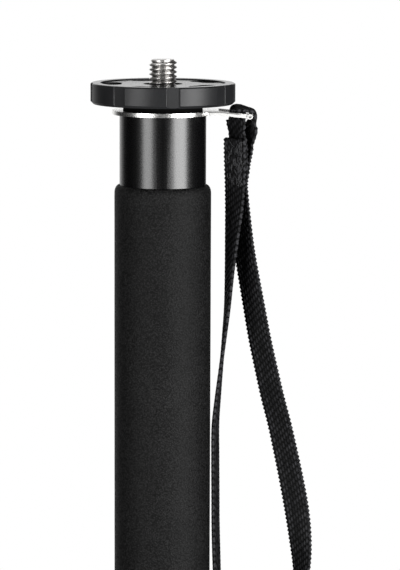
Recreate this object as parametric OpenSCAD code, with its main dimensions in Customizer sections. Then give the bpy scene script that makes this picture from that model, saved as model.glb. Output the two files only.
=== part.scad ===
// Camera monopod, folded: a platform with a screw stud, a swivelling strap bracket with its wrist strap,
// a foam grip, four telescoping tubes with flip locks, and a rubber foot.
// The camera seat is at z = 0, on the stud's axis, and everything else is below it. Millimetres.

/* [Platform] */
// Diameter of the platform
disc_d = 50; // [46:0.5:60]
// Thickness of the platform
disc_h = 7.2; // [6.5:0.1:10]
// Chamfer under the rim
disc_chamfer = 0.9; // [0.5:0.1:2]
// Round-off of the rim's top edge
disc_edge = 0.6; // [0.3:0.1:1.2]
// Number of grip notches in the rim
notch_count = 8; // [4:1:12]
// Width of a grip notch
notch_w = 4.1; // [2:0.1:6]
// Depth of a grip notch
notch_depth = 0.6; // [0.3:0.1:1]
// Radius of a grip notch's shoulders
notch_round = 0.4; // [0.1:0.05:0.6]
// Turn of the first notch from the front towards the right, in degrees
notch_turn = 8.9; // [0:0.1:44]
// Width of the raised seat round the top
seat_w = 3.4; // [2:0.1:4.5]
// Depth of the recess inside the seat
recess_depth = 0.4; // [0.2:0.1:0.8]
// Number of kidney pockets in the recess
pocket_count = 5; // [3:1:6]
// Radial width of a pocket
pocket_w = 7; // [3:0.1:7]
// Depth of a pocket below the recess
pocket_depth = 1.2; // [0.5:0.1:1.4]
// Sweep of a pocket between the centres of its round ends, in degrees
pocket_sweep = 18; // [6:1:24]
// Turn of the first pocket from the left towards the back, in degrees
pocket_turn = 1; // [0:0.1:59]
// Land between a pocket and the raised seat
pocket_land = 0.3; // [0.3:0.1:1.5]

/* [Camera stud] */
// Major diameter of the stud's thread
stud_d = 9.525; // [6.35:0.005:12]
// Pitch of the stud's thread
stud_pitch = 1.5875; // [1:0.0005:2]
// Height of the stud above the seat
stud_h = 8; // [5:0.5:12]
// Depth of the thread
thread_depth = 0.95; // [0.5:0.05:1.1]
// Width of the thread's crest
thread_crest = 0.36; // [0.2:0.02:0.5]
// Width of the thread's root
thread_root = 0.24; // [0.1:0.02:0.4]
// Chamfer on the stud's tip
stud_tip = 0.9; // [0.5:0.1:1.2]
// Diameter of the well round the stud
well_d = 13.6; // [12.8:0.1:18]
// Depth of the well below the seat
well_depth = 1.2; // [0.9:0.1:1.6]
// Length of the stud's shank inside the platform
shank_len = 9; // [6:0.5:12]
// Diameter of the stud's smaller, lower end
small_stud_d = 6.35; // [5:0.05:8]
// Length of the stud's smaller, lower end
small_stud_len = 8; // [4:0.5:12]

/* [Set screw] */
// Diameter of the set screw
set_screw_d = 3; // [2:0.5:4]
// Length of the set screw
set_screw_len = 8; // [5:0.5:12]
// Depth of the set screw below the seat
set_screw_drop = 4.2; // [3.8:0.1:4.8]
// Which notch the set screw is in, counted from the first
set_screw_notch = 5; // [3:1:7]
// Size of the key socket in the set screw
set_screw_key = 1.5; // [0.9:0.1:2]

/* [Plug] */
// Length of the plug inside the top tube
plug_len = 36; // [24:1:60]
// Wall of the hollow plug
plug_wall = 3; // [2:0.1:5]
// Height of the solid web under the platform
plug_web = 5; // [4:0.5:10]
// Diameter of the cross pin
head_pin_d = 3; // [2:0.5:4]
// Height of the cross pin above the plug's lower end
head_pin_up = 6; // [4:0.5:9]

/* [Strap bracket] */
// Space between the platform and the top tube, where the bracket turns
head_gap = 3.8; // [3:0.1:6]
// Thickness of the bracket's plate
bracket_t = 1.4; // [1:0.1:2]
// Width of the ring round the neck
ring_w = 3.6; // [2:0.1:4]
// Width of the tab where it leaves the ring
tab_w = 15; // [14.4:0.1:20]
// Width of the tab at its tip
tab_tip_w = 14.2; // [13:0.1:20]
// Distance of the rolled tip from the axis
tab_reach = 30; // [28:0.1:40]
// Distance of the bend from the axis
tab_bend_at = 20; // [18.5:0.1:24]
// Downward bend of the tab, in degrees
tab_bend = 6; // [0:0.5:10]
// Width of the strap slot
slot_w = 11.4; // [10.6:0.1:12]
// Distance of the slot's near end from the axis
slot_from = 19.2; // [18.6:0.1:22]
// Land between the slot and the middle of the rolled tip
slot_land = 1.3; // [0.9:0.1:3]
// Corner radius of the slot
slot_r = 0.8; // [0.4:0.1:2]
// Diameter of the rolled tip
roll_d = 1.9; // [1.6:0.1:2.4]
// Diameter of the hole in the rolled tip
roll_bore = 0.9; // [0.5:0.1:1.2]

/* [Wrist strap] */
// Width of the webbing
strap_w = 10; // [6:0.5:10]
// Thickness of the webbing
strap_t = 1.4; // [0.8:0.1:1.5]

/* [Tubes] */
// Outer diameter of the top tube
tube_d = 30; // [28:0.5:40]
// Wall of every tube
tube_wall = 1.2; // [0.8:0.1:1.6]
// Space between one tube and the next, for the guide bush
tube_gap = 0.8; // [0.6:0.1:1.4]
// Length of the top tube
upper_tube_len = 404.7; // [320:0.1:500]

/* [Foam grip] */
// Thickness of the foam
grip_wall = 1.8; // [1:0.1:6]
// Length of the foam
grip_len = 230; // [100:1:280]
// Bare tube above the foam
grip_drop = 24.4; // [10:0.1:28]
// Radius of the foam's end edges
grip_edge = 1.2; // [0.4:0.1:1.2]

/* [Flip locks] */
// Wall of a lock housing round its tube
lock_wall = 2.6; // [2:0.1:3]
// Depth of the socket that takes the outer tube
socket_h = 16; // [12:0.5:24]
// Land between the tube's end and the cam's pocket
cam_land = 1.7; // [1:0.1:4]
// Radius of the cam
cam_r = 4.2; // [3.8:0.1:5]
// Throw of the cam
cam_throw = 0.5; // [0.3:0.05:0.8]
// Width of the lever's hub
hub_w = 12; // [11:0.5:14]
// Thickness of an ear of the housing
ear_t = 3; // [2:0.1:4]
// Radius of an ear's round end
ear_r = 4.5; // [3.5:0.1:5]
// Diameter of the lever's hinge pin
lever_pin_d = 3; // [2:0.1:4]
// Length of the lever, from its pin to its tip
lever_len = 22; // [18:0.5:30]
// Thickness of the lever
lever_t = 2.6; // [1.8:0.1:4]
// Sweep of the lever round its housing, in degrees
lever_sweep = 62; // [48:1:76]
// How far the finger lip stands out from the lever
lip_out = 1.8; // [0.5:0.1:3]
// Height of the finger lip
lip_h = 4; // [2:0.1:6]
// Thickness of the brake shoe
shoe_t = 2.65; // [2.2:0.05:3.2]
// Width of the brake shoe
shoe_w = 9.7; // [7:0.1:10.5]
// Height of the brake shoe
shoe_h = 7.7; // [5:0.1:9]
// How far the shoe stands out of its window
shoe_proud = 0.4; // [0.2:0.1:0.8]
// Diameter of the housing screw
lock_screw_d = 3; // [2:0.5:4]
// Diameter of the housing screw's head
lock_screw_head_d = 5.4; // [5:0.1:6.5]
// Height of the housing screw's head
lock_screw_head_h = 1.5; // [1:0.1:2]
// Depth of the seat that the screw's head sits in
lock_screw_seat = 1; // [0.8:0.1:1.4]
// Width of the driver slots in the screw's head
lock_screw_slot = 0.7; // [0.4:0.1:1]
// Length of the driver slots in the screw's head
lock_screw_slot_len = 3.2; // [2:0.1:4.5]

/* [Guide bushes] */
// Length of a guide bush on its tube
bush_len = 26; // [16:1:40]
// Thickness of the bush's cap over the tube's end
bush_cap = 2; // [1:0.1:4]

/* [Foot] */
// Wall of the foot's collar round the lowest tube
foot_wall = 2.5; // [1.6:0.1:5]
// How far the foot's base stands out from its collar
foot_flare = 2; // [1:0.1:6]
// Height of the foot
foot_h = 26; // [24:0.5:36]
// Depth of the tube in the foot
foot_socket = 16; // [10:0.5:17]
// Height of the foot's wide base
foot_base_h = 7; // [4:0.5:8]
// Depth of a groove round the foot
foot_groove = 0.8; // [0.4:0.1:1.2]
// Length of the plug inside the lowest tube
foot_plug_len = 14; // [8:0.5:20]
// Thickness of the plug's flange
foot_plug_flange = 2; // [1:0.1:3]

/* [Fits] */
// Clearance of a piece that is pushed or glued in place
push_fit = 0.05; // [0.02:0.01:0.1]
// Clearance of a hinge pin or a screw in its hole
pin_fit = 0.05; // [0.02:0.01:0.1]
// Clearance of a tube in its lock, and of a lever between its ears
slide_play = 0.3; // [0.2:0.05:0.5]
// Clearance of a guide bush in its tube
bush_play = 0.1; // [0.05:0.05:0.3]
// Clearance of the bracket's ring round the neck and over the tube
bracket_play = 0.2; // [0.1:0.05:0.4]
// Clearance of the brake shoe in its window and from its tube
shoe_play = 0.15; // [0.1:0.05:0.3]
// Clearance between the closed cam and the brake shoe
cam_gap = 0.1; // [0.1:0.05:0.2]
// Clearance round the turning cam
cam_room = 0.6; // [0.4:0.1:1]
// Clearance between the lever and its housing
lever_gap = 0.8; // [0.5:0.1:1.5]
// Space between one folded lock and the next
lock_gap = 0.5; // [0.3:0.1:2]
// Space between the plug and the folded tube below it
top_gap = 2.3; // [1:0.1:10]

/* [Hidden] */
$fn = 96;

// Overshoot of a cut past the surface that it leaves
past = 1;

// Heights and radii of the head
disc_r = disc_d / 2;
seat_r = disc_r - seat_w;
well_r = well_d / 2;
stud_r = stud_d / 2;
shank_r = stud_r - thread_depth / 2;
stud_bore_r = shank_r + push_fit;
small_r = small_stud_d / 2;
tube_top = -disc_h - head_gap;
plug_r = tube_d / 2 - tube_wall - push_fit;
plug_bottom = tube_top - plug_len;
web_bottom = -disc_h - plug_web;
head_pin_z = plug_bottom + head_pin_up;
groove_w = stud_pitch - thread_crest;
thread_turns = floor((stud_h - stud_tip + well_depth) / stud_pitch);
pocket_out = seat_r - pocket_land;
pocket_mid = pocket_out - pocket_w / 2;
set_screw_turn = notch_turn - 90 + set_screw_notch * 360 / notch_count;

// Bracket
ring_in = plug_r + bracket_play;
ring_out = ring_in + ring_w;
bracket_z = tube_top + bracket_play;
slot_to = tab_reach - slot_land;

// Tubes are counted from 1 at the top, and lock i joins tube i to tube i + 1
tube_step = tube_wall + tube_gap;
function tube_r(k) = tube_d / 2 - (k - 1) * tube_step;
pocket_half = cam_r + cam_throw + cam_room;
pivot_drop = pocket_half + cam_land;
clamp_h = pivot_drop + lever_len;
lock_h = socket_h + clamp_h;
function shoulder(i) = tube_top - upper_tube_len - (i - 1) * (lock_h + lock_gap);
foot_top = shoulder(3) - clamp_h - lock_gap;
function tube_end(k) = k < 4 ? shoulder(k) : foot_top - foot_socket;
inner_tube_len = plug_bottom - top_gap - bush_cap - shoulder(2);

// Flip lock, from the inner tube outwards
ear_in = hub_w / 2 + slide_play;
ear_out = ear_in + ear_t;
function housing_r(i) = tube_r(i) + lock_wall;
function shoe_out(i) = tube_r(i + 1) + shoe_play + shoe_t;
function pivot_x(i) = shoe_out(i) + cam_gap + cam_r + cam_throw;
function pivot_z(i) = shoulder(i) - pivot_drop;
function arm_in(i) = housing_r(i) + lever_gap;
function arm_out(i) = arm_in(i) + lever_t;
function screw_z(i) = shoulder(i) + socket_h / 2;

// Points along an arc from angle a0 to angle a1
function arc(x, y, r, a0, a1, steps = 6) =
    [for (s = [0:steps]) let (a = a0 + (a1 - a0) * s / steps) [x + r * cos(a), y + r * sin(a)]];

module tube(r, bore, z0, z1) {
    difference() {
        translate([0, 0, z0]) cylinder(r = r, h = z1 - z0);
        translate([0, 0, z0 - past]) cylinder(r = bore, h = z1 - z0 + 2 * past);
    }
}

// A cylinder along X that starts at x, or along Y and centred
module along_x(x, z, r, len) {
    translate([x, 0, z]) rotate([0, 90, 0]) cylinder(r = r, h = len);
}

module along_y(x, z, r, len) {
    translate([x, 0, z]) rotate([90, 0, 0]) cylinder(r = r, h = len, center = true);
}

// Platform and plug
module kidney_cut() {
    half = pocket_sweep / 2;
    depth = recess_depth + pocket_depth;
    translate([0, 0, -depth]) {
        rotate([0, 0, -half]) rotate_extrude(angle = pocket_sweep)
            translate([pocket_out - pocket_w, 0]) square([pocket_w, depth + past]);
        for (a = [-half, half])
            rotate([0, 0, a]) translate([pocket_mid, 0, 0]) cylinder(d = pocket_w, h = depth + past);
    }
}

// A notch whose shoulders run into the rim in a round, no larger than its depth leaves room for
module notch_cut() {
    round_r = min(notch_round, notch_depth * 2 / 3);
    reach = disc_r - round_r;
    side_y = notch_w / 2 + round_r;
    side_x = sqrt(reach * reach - side_y * side_y);
    out = (disc_r + past) / reach;
    translate([0, 0, -disc_h - past]) linear_extrude(disc_h + 2 * past) {
        translate([disc_r - notch_depth, -notch_w / 2]) square([notch_depth + past, notch_w]);
        for (side = [-1, 1])
            difference() {
                polygon([
                    [side_x, 0], [disc_r + past, 0],
                    [side_x * out, side * side_y * out], [side_x, side * side_y]
                ]);
                translate([side_x, side * side_y]) circle(r = round_r);
            }
    }
}

module mounting_disc() {
    profile = concat(
        [
            [plug_r - plug_wall, plug_bottom],
            [plug_r, plug_bottom],
            [plug_r, -disc_h],
            [disc_r - disc_chamfer, -disc_h],
            [disc_r, disc_chamfer - disc_h]
        ],
        arc(disc_r - disc_edge, -disc_edge, disc_edge, 0, 90),
        [
            [seat_r, 0],
            [seat_r, -recess_depth],
            [well_r, -recess_depth],
            [well_r, -well_depth],
            [stud_bore_r, -well_depth],
            [stud_bore_r, web_bottom],
            [plug_r - plug_wall, web_bottom]
        ]
    );
    color([0.17, 0.17, 0.18])
    difference() {
        rotate_extrude() polygon(profile);
        for (i = [0:notch_count - 1])
            rotate([0, 0, notch_turn - 90 + i * 360 / notch_count]) notch_cut();
        for (i = [0:pocket_count - 1])
            rotate([0, 0, 180 - pocket_turn + i * 360 / pocket_count]) kidney_cut();
        rotate([0, 0, set_screw_turn])
            along_x(shank_r, -set_screw_drop, set_screw_d / 2 + pin_fit, disc_r);
        along_y(0, head_pin_z, head_pin_d / 2 + pin_fit, 2 * disc_r);
    }
}

module camera_stud() {
    grooves = [
        for (i = [thread_turns - 1:-1:0])
            let (top = stud_h - stud_tip - thread_crest - i * stud_pitch, mid = top - groove_w / 2)
                each [
                    [stud_r, top - groove_w],
                    [stud_r - thread_depth, mid - thread_root / 2],
                    [stud_r - thread_depth, mid + thread_root / 2],
                    [stud_r, top]
                ]
    ];
    shank_bottom = -well_depth - shank_len;
    profile = concat(
        [
            [0, shank_bottom - small_stud_len],
            [small_r - stud_tip, shank_bottom - small_stud_len],
            [small_r, shank_bottom - small_stud_len + stud_tip],
            [small_r, shank_bottom],
            [shank_r, shank_bottom],
            [shank_r, -well_depth],
            [stud_r, -well_depth]
        ],
        grooves,
        [
            [stud_r, stud_h - stud_tip],
            [stud_r - stud_tip, stud_h],
            [0, stud_h]
        ]
    );
    color([0.75, 0.76, 0.77]) rotate_extrude() polygon(profile);
}

module stud_set_screw() {
    tip = shank_r + push_fit;
    color([0.2, 0.2, 0.21])
    rotate([0, 0, set_screw_turn])
    difference() {
        along_x(tip, -set_screw_drop, set_screw_d / 2, set_screw_len);
        translate([tip + set_screw_len - set_screw_d / 2, 0, -set_screw_drop])
            rotate([0, 90, 0]) cylinder(d = set_screw_key, h = set_screw_d, $fn = 6);
    }
}

module head_pin() {
    color([0.7, 0.7, 0.72]) along_y(0, head_pin_z, head_pin_d / 2, tube_d - 2 * push_fit);
}

// Strap bracket
module slot_outline() {
    half = slot_w / 2;
    translate([slot_from, slot_r - half]) square([slot_to - slot_from, slot_w - 2 * slot_r]);
    translate([slot_from + slot_r, -half]) square([slot_to - slot_from - 2 * slot_r, slot_w]);
    for (x = [slot_from + slot_r, slot_to - slot_r], y = [slot_r - half, half - slot_r])
        translate([x, y]) circle(r = slot_r);
}

module bracket_outline() {
    difference() {
        union() {
            circle(r = ring_out);
            polygon([
                [0, -tab_w / 2], [tab_reach, -tab_tip_w / 2], [tab_reach, tab_tip_w / 2], [0, tab_w / 2]
            ]);
        }
        circle(r = ring_in);
        slot_outline();
    }
}

// The plate's outline from above, kept to the plate's bent profile from the side, with the rolled tip
module strap_bracket() {
    drop = (tab_reach - tab_bend_at) * tan(tab_bend);
    roll_z = bracket_z + bracket_t / 2 - drop;
    color([0.85, 0.85, 0.86])
    difference() {
        union() {
            intersection() {
                translate([0, 0, bracket_z - drop]) linear_extrude(drop + bracket_t) bracket_outline();
                translate([0, 0, bracket_z]) rotate([90, 0, 0])
                    linear_extrude(2 * ring_out + tab_w, center = true)
                        polygon([
                            [-ring_out - past, 0], [tab_bend_at, 0],
                            [tab_reach + past, -drop - past * tan(tab_bend)],
                            [tab_reach + past, bracket_t - drop - past * tan(tab_bend)],
                            [tab_bend_at, bracket_t], [-ring_out - past, bracket_t]
                        ]);
            }
            along_y(tab_reach, roll_z, roll_d / 2, tab_w);
        }
        along_y(tab_reach, roll_z, roll_bore / 2, tab_w + 2 * past);
    }
}

// Wrist strap: x, y, z along the webbing's middle, the angle of its width from the X axis, seen from above,
// and over the bracket the lean of its width out of the level.
// It runs from the tail sewn inside the joint, up through the slot, over the rolled tip, down the right leg,
// round the bottom of the loop and up the left leg to the end sewn on the front of the joint.
strap_route = [
    [25.7, -0.3, -31, -40], [25.75, -0.3, -27, -41], [25.85, -0.3, -23, -45], [25.9, -0.2, -20.5, -50],
    [25.75, -0.1, -18.7, -54], [25.5, 0, -16.7, -56], [25.4, 0, -15, -50], [25.3, 0, -13.4, -47],
    [25.2, 0, -12.3, -50], [24.75, 0, -11.5, -61], [24.3, 0, -10.7, -75], [23.75, 0, -9.95, -86],
    [23.75, 0, -9.3, -90, -2], [24.3, 0, -8.85, -90, -5], [25.4, 0, -8.68, -90, -7], [26.6, 0, -8.75, -90, -7],
    [27.7, 0, -8.92, -90, -5], [28.7, 0, -9.1, -90, -2.5], [29.6, 0, -9.28, -90, -1], [30.5, 0, -9.47, -90],
    [31.35, 0, -10.0, -90], [31.8, 0, -10.9, -90], [31.75, 0, -11.8, -89], [31.55, 0, -12.6, -86.5],
    [31.2, 0.05, -13.3, -79], [30.8, 0.1, -14.1, -71], [30.55, 0.2, -15.3, -66], [30.2, 0.3, -16.7, -62],
    [29.4, 0.6, -18.7, -58], [28.6, 0.9, -20.5, -54], [28.05, 1.2, -22.6, -49], [27.4, 1.5, -25, -45],
    [26.8, 1.7, -27.5, -43], [26.3, 1.9, -31, -42], [25.8, 2.1, -35, -42], [26.1, 2.2, -39, -43],
    [26.9, 2.3, -46, -44], [28.0, 2.4, -55, -44], [29.15, 2.6, -63, -41.5], [31.85, 2.8, -78, -38],
    [33.85, 2.9, -89, -35], [36.0, 3.0, -99, -33], [38.5, 3.0, -110, -31], [41.1, 3.0, -120, -30],
    [43.35, 2.9, -130, -28], [45.45, 2.8, -140, -26], [47.3, 2.6, -150, -26], [48.6, 2.2, -160, -35],
    [49.2, 1.6, -170, -52], [48.6, 1.0, -180, -72], [46.3, 0.6, -190, -88], [42.2, 0.4, -198, -92],
    [36.0, 0.3, -202.5, -95], [29.5, 0.2, -202, -97], [24.2, 0.2, -197, -98], [21.0, 0.2, -188, -100],
    [19.6, 0.1, -177, -101], [19.1, 0.1, -166, -102], [18.8, 0, -155, -102], [18.7, 0, -144, -102],
    [18.6, 0, -132, -102], [18.6, -0.1, -120, -101], [19.4, -0.2, -110, -98], [20.5, -0.4, -99, -93],
    [21.5, -0.6, -89, -88], [22.55, -0.9, -78, -83], [23.3, -1.2, -65, -75], [24.1, -1.5, -53, -63],
    [24.75, -1.8, -43, -52], [25.0, -2.1, -35, -45], [25.0, -2.4, -29, -41], [24.9, -2.8, -24, -40],
    [24.8, -3.3, -19, -41]
];

function unit(v) = v / norm(v);
function spot(i) = [strap_route[i][0], strap_route[i][1], strap_route[i][2]];
function lean(i) = len(strap_route[i]) > 4 ? strap_route[i][4] : 0;
function heading(i) = unit(spot(min(i + 1, len(strap_route) - 1)) - spot(max(i - 1, 0)));
function across(i) =
    let (a = strap_route[i][3], b = lean(i), t = heading(i), w = [cos(a) * cos(b), sin(a) * cos(b), sin(b)])
        unit(w - (w * t) * t);

module wrist_strap() {
    edge = strap_t / 4;
    half_w = strap_w / 2;
    half_t = strap_t / 2;
    section = [
        [half_w, edge - half_t], [half_w, half_t - edge], [half_w - edge, half_t], [edge - half_w, half_t],
        [-half_w, half_t - edge], [-half_w, edge - half_t], [edge - half_w, -half_t], [half_w - edge, -half_t]
    ];
    sides = len(section);
    rings = len(strap_route);
    points = [
        for (i = [0:rings - 1], s = section)
            spot(i) + s[0] * across(i) + s[1] * cross(heading(i), across(i))
    ];
    walls = [
        for (i = [0:rings - 2], s = [0:sides - 1])
            let (a = i * sides + s, b = i * sides + (s + 1) % sides)
                each [[a, a + sides, b + sides], [a, b + sides, b]]
    ];
    first = [for (s = [1:sides - 2]) [0, s, s + 1]];
    last_ring = (rings - 1) * sides;
    last = [for (s = [1:sides - 2]) [last_ring, last_ring + s + 1, last_ring + s]];
    color([0.07, 0.07, 0.08]) polyhedron(points, concat(first, walls, last));
}

// Tubes, grip and guide bushes
module upper_tube() {
    color([0.05, 0.05, 0.055])
    difference() {
        tube(tube_r(1), tube_r(1) - tube_wall, shoulder(1), tube_top);
        along_y(0, head_pin_z, head_pin_d / 2 + pin_fit, 2 * tube_d);
        along_x(-tube_d, screw_z(1), lock_screw_d / 2 + pin_fit, tube_d);
    }
}

module inner_tube(k) {
    color([0.05, 0.05, 0.055])
    difference() {
        tube(tube_r(k), tube_r(k) - tube_wall, tube_end(k), tube_end(k) + inner_tube_len);
        if (k < 4) along_x(-tube_d, screw_z(k), lock_screw_d / 2 + pin_fit, tube_d);
    }
}

module foam_grip() {
    top = tube_top - grip_drop;
    bottom = top - grip_len;
    inner = tube_r(1) + push_fit;
    outer = tube_r(1) + grip_wall;
    edge = min(grip_edge, outer - inner - push_fit);
    profile = concat(
        [[inner, bottom]],
        arc(outer - edge, bottom + edge, edge, -90, 0),
        arc(outer - edge, top - edge, edge, 0, 90),
        [[inner, top]]
    );
    color([0.12, 0.12, 0.125]) rotate_extrude() polygon(profile);
}

module guide_bush(k) {
    top = tube_end(k) + inner_tube_len;
    outer = tube_r(k - 1) - tube_wall - bush_play;
    profile = [
        [tube_r(k) + push_fit, top - bush_len],
        [outer, top - bush_len],
        [outer, top + bush_cap],
        [tube_r(k) - tube_wall, top + bush_cap],
        [tube_r(k) - tube_wall, top],
        [tube_r(k) + push_fit, top]
    ];
    color([0.9, 0.9, 0.87]) rotate_extrude() polygon(profile);
}

// Flip locks
module lock_housing(i) {
    z = shoulder(i);
    r = housing_r(i);
    chamfer = lock_wall / 3;
    profile = [
        [tube_r(i + 1) + slide_play, z - clamp_h],
        [r - chamfer, z - clamp_h],
        [r, z - clamp_h + chamfer],
        [r, z + socket_h - chamfer],
        [r - chamfer, z + socket_h],
        [tube_r(i) + push_fit, z + socket_h],
        [tube_r(i) + push_fit, z],
        [tube_r(i + 1) + slide_play, z]
    ];
    ear_x = shoe_out(i);
    color([0.1, 0.1, 0.105])
    difference() {
        union() {
            rotate_extrude() polygon(profile);
            for (side = [-1, 1])
                translate([0, side * (ear_in + ear_t / 2), pivot_z(i)])
                    rotate([90, 0, 0]) linear_extrude(ear_t, center = true) {
                        translate([pivot_x(i), 0]) circle(r = ear_r);
                        translate([ear_x, -ear_r]) square([pivot_x(i) - ear_x, 2 * ear_r]);
                    }
        }
        translate([shoe_out(i) - shoe_proud, -ear_in, pivot_z(i) - pocket_half])
            cube([2 * cam_r + lever_gap, 2 * ear_in, 2 * pocket_half]);
        translate([0, -shoe_w / 2 - shoe_play, pivot_z(i) - shoe_h / 2 - shoe_play])
            cube([shoe_out(i), shoe_w + 2 * shoe_play, shoe_h + 2 * shoe_play]);
        along_y(pivot_x(i), pivot_z(i), lever_pin_d / 2 + pin_fit, 2 * ear_out + 2 * past);
        along_x(-r - past, screw_z(i), lock_screw_d / 2 + pin_fit, r);
        along_x(-r - past, screw_z(i), lock_screw_head_d / 2 + pin_fit, lock_screw_seat + past);
    }
}

module lock_lever(i) {
    tip = pivot_z(i) - lever_len;
    start = pivot_z(i) - ear_r - lever_gap;
    color([0.13, 0.13, 0.14])
    difference() {
        union() {
            along_y(pivot_x(i) - cam_throw, pivot_z(i), cam_r, hub_w);
            translate([arm_in(i), -hub_w / 2, start - lever_t])
                cube([lever_t, hub_w, pivot_z(i) - start + lever_t]);
            rotate([0, 0, -lever_sweep / 2]) rotate_extrude(angle = lever_sweep)
                polygon([
                    [arm_in(i), tip], [arm_out(i) + lip_out, tip], [arm_out(i) + lip_out, tip + lip_h / 3],
                    [arm_out(i), tip + lip_h], [arm_out(i), start], [arm_in(i), start]
                ]);
        }
        along_y(pivot_x(i), pivot_z(i), lever_pin_d / 2 + pin_fit, hub_w + 2 * past);
    }
}

module lever_pin(i) {
    color([0.7, 0.7, 0.72]) along_y(pivot_x(i), pivot_z(i), lever_pin_d / 2, 2 * ear_out);
}

module brake_shoe(i) {
    color([0.88, 0.88, 0.85])
    difference() {
        translate([0, -shoe_w / 2, pivot_z(i) - shoe_h / 2]) cube([shoe_out(i), shoe_w, shoe_h]);
        translate([0, 0, pivot_z(i) - shoe_h]) cylinder(r = tube_r(i + 1) + shoe_play, h = 2 * shoe_h);
    }
}

module housing_screw(i) {
    seat = housing_r(i) - lock_screw_seat;
    tip = tube_r(i) - tube_wall + push_fit;
    color([0.7, 0.7, 0.72])
    difference() {
        union() {
            along_x(-seat, screw_z(i), lock_screw_d / 2, seat - tip);
            along_x(-seat - lock_screw_head_h, screw_z(i), lock_screw_head_d / 2, lock_screw_head_h);
        }
        for (a = [0, 90])
            translate([-seat - lock_screw_head_h, 0, screw_z(i)]) rotate([a, 0, 0])
                cube([lock_screw_head_h, lock_screw_slot_len, lock_screw_slot], center = true);
    }
}

// Foot
module foot_plug() {
    z = tube_end(4);
    bore = tube_r(4) - tube_wall;
    color([0.15, 0.15, 0.16]) {
        translate([0, 0, z - foot_plug_flange]) cylinder(r = tube_r(4), h = foot_plug_flange);
        translate([0, 0, z - foot_plug_flange])
            cylinder(r = bore - push_fit, h = foot_plug_flange + foot_plug_len);
    }
}

module rubber_foot() {
    collar = tube_r(4) + foot_wall;
    base = collar + foot_flare;
    bottom = foot_top - foot_h;
    bore = tube_r(4) + push_fit;
    floor_z = tube_end(4) - foot_plug_flange;
    groove_h = 2 * foot_groove;
    profile = concat(
        [[0, bottom]],
        arc(base - foot_groove * 2, bottom + foot_groove * 2, foot_groove * 2, -90, 0),
        [
            [base, bottom + foot_base_h],
            [collar, bottom + foot_base_h + foot_flare]
        ],
        [
            for (g = [3, 2, 1])
                let (mid = foot_top - g * 2 * groove_h)
                    each [
                        [collar, mid - groove_h / 2], [collar - foot_groove, mid],
                        [collar, mid + groove_h / 2]
                    ]
        ],
        [
            [collar, foot_top - foot_groove],
            [collar - foot_groove, foot_top],
            [bore, foot_top],
            [bore, floor_z],
            [0, floor_z]
        ]
    );
    color([0.06, 0.06, 0.06]) rotate_extrude() polygon(profile);
}

mounting_disc();
camera_stud();
stud_set_screw();
head_pin();
strap_bracket();
wrist_strap();
upper_tube();
foam_grip();
foot_plug();
rubber_foot();
for (k = [2:4]) {
    inner_tube(k);
    guide_bush(k);
}
for (i = [1:3]) {
    lock_housing(i);
    lock_lever(i);
    lever_pin(i);
    brake_shoe(i);
    housing_screw(i);
}
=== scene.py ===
import math
import random

import bmesh
import bpy
from bpy.props import FloatProperty, FloatVectorProperty, IntProperty, PointerProperty
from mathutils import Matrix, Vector, noise


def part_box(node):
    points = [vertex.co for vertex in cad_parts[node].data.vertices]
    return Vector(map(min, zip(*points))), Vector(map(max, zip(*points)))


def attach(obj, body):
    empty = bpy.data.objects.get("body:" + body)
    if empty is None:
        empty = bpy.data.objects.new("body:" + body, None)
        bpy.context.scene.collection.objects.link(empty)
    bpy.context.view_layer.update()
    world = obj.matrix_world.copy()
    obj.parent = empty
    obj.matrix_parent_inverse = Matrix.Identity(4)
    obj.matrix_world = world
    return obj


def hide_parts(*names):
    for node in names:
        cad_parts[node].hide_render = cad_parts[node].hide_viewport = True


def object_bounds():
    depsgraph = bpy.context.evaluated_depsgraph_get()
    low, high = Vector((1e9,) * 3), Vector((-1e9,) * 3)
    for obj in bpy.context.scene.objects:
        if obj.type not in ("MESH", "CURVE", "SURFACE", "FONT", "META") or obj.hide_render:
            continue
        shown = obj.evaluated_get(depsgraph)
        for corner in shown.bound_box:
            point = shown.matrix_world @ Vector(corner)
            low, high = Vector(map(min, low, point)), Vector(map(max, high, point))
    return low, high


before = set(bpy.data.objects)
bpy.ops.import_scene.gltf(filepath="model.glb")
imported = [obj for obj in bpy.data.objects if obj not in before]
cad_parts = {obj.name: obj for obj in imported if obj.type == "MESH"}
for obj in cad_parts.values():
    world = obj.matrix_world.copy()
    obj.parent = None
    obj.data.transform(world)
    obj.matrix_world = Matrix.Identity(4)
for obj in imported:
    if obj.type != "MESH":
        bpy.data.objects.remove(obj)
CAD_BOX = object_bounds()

bl_info = {
    "name": "Camera monopod",
    "version": (1, 0, 0),
    "blender": (4, 5, 0),
    "location": "3D View > Sidebar > Monopod",
    "description": "Dresses the packed camera monopod: stud, webbing, foam grip, finishes and studio",
    "category": "Object",
}

MM = 0.001
LOCKS = (1, 2, 3)
INNER_TUBES = (2, 3, 4)
STUD_LOW, STUD_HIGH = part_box("camera_stud")
GRIP_LOW, GRIP_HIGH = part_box("foam_grip")
DISC_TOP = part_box("mounting_disc")[1][2]
BRACKET_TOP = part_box("strap_bracket")[1][2]

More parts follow.
